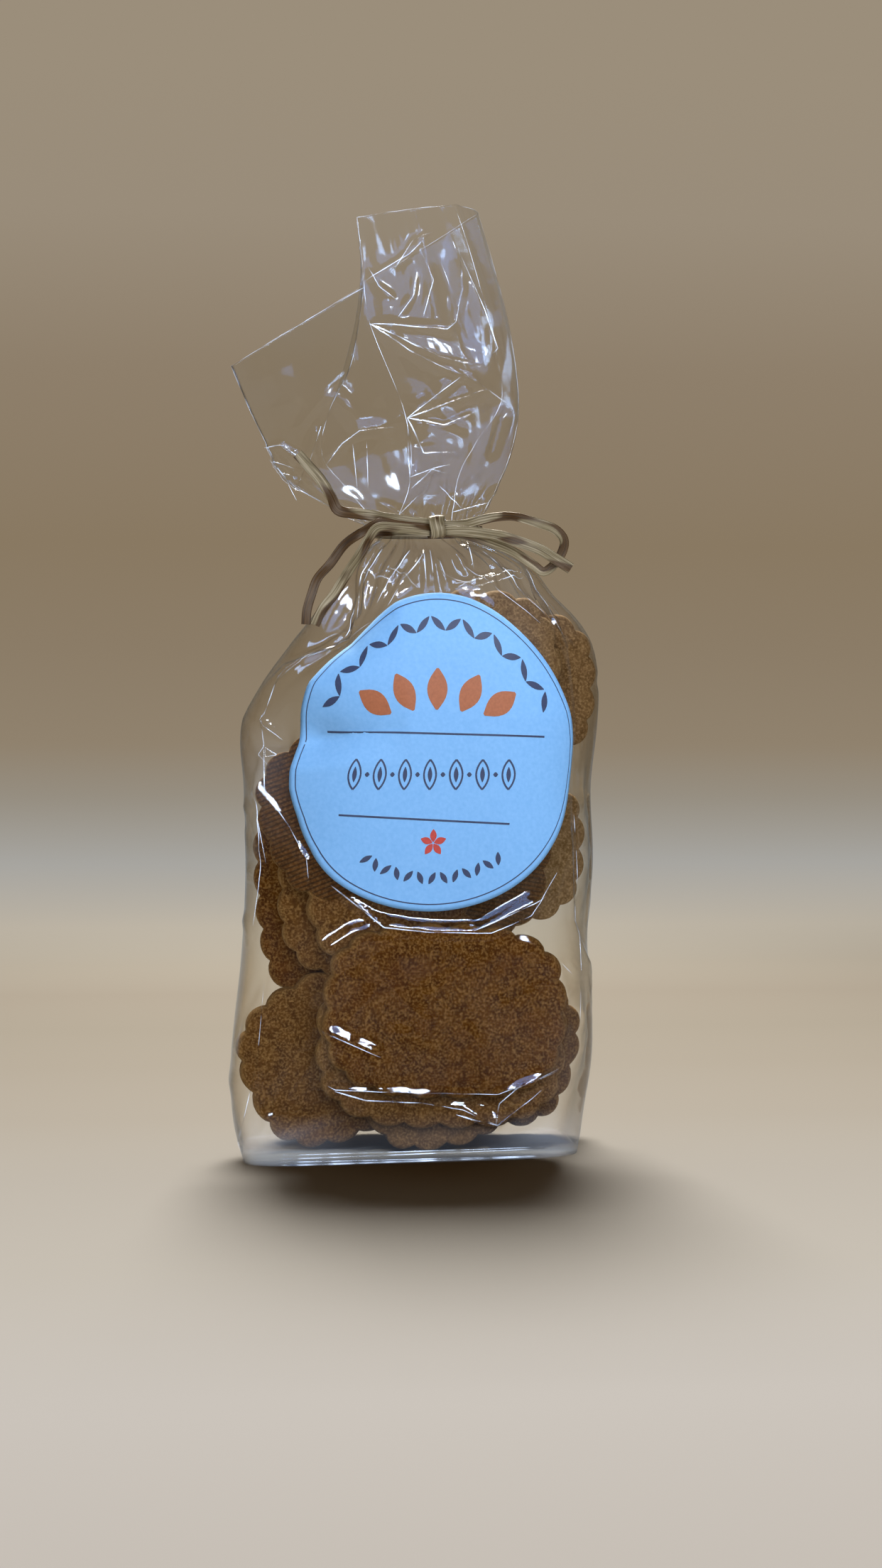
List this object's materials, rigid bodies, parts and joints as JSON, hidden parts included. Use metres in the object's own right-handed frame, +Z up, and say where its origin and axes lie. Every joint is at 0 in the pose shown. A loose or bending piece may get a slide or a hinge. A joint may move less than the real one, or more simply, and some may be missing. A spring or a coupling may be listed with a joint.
{
  "type": "bag of almond sables",
  "caption": "Clear block-bottom bag of scalloped almond sables, standing upright, gathered and tied with a raffia bow, with a round paper label on its front.",
  "frame": {"origin": "middle of the flat base, where the bag stands", "axes": "+Z up, the label side faces -Y, +X to the right seen from the front"},
  "size_m": [0.1111, 0.0686, 0.2831],
  "materials": {
    "film": "clear glossy film",
    "label_paper": "uncoated matte paper",
    "raffia": "dry fibrous ribbon",
    "sable": "baked golden brown crumb"
  },
  "bodies": {
    "root": {"bag": "film", "label": "label_paper", "raffia_tie": "raffia"}
  },
  "joints": []
}
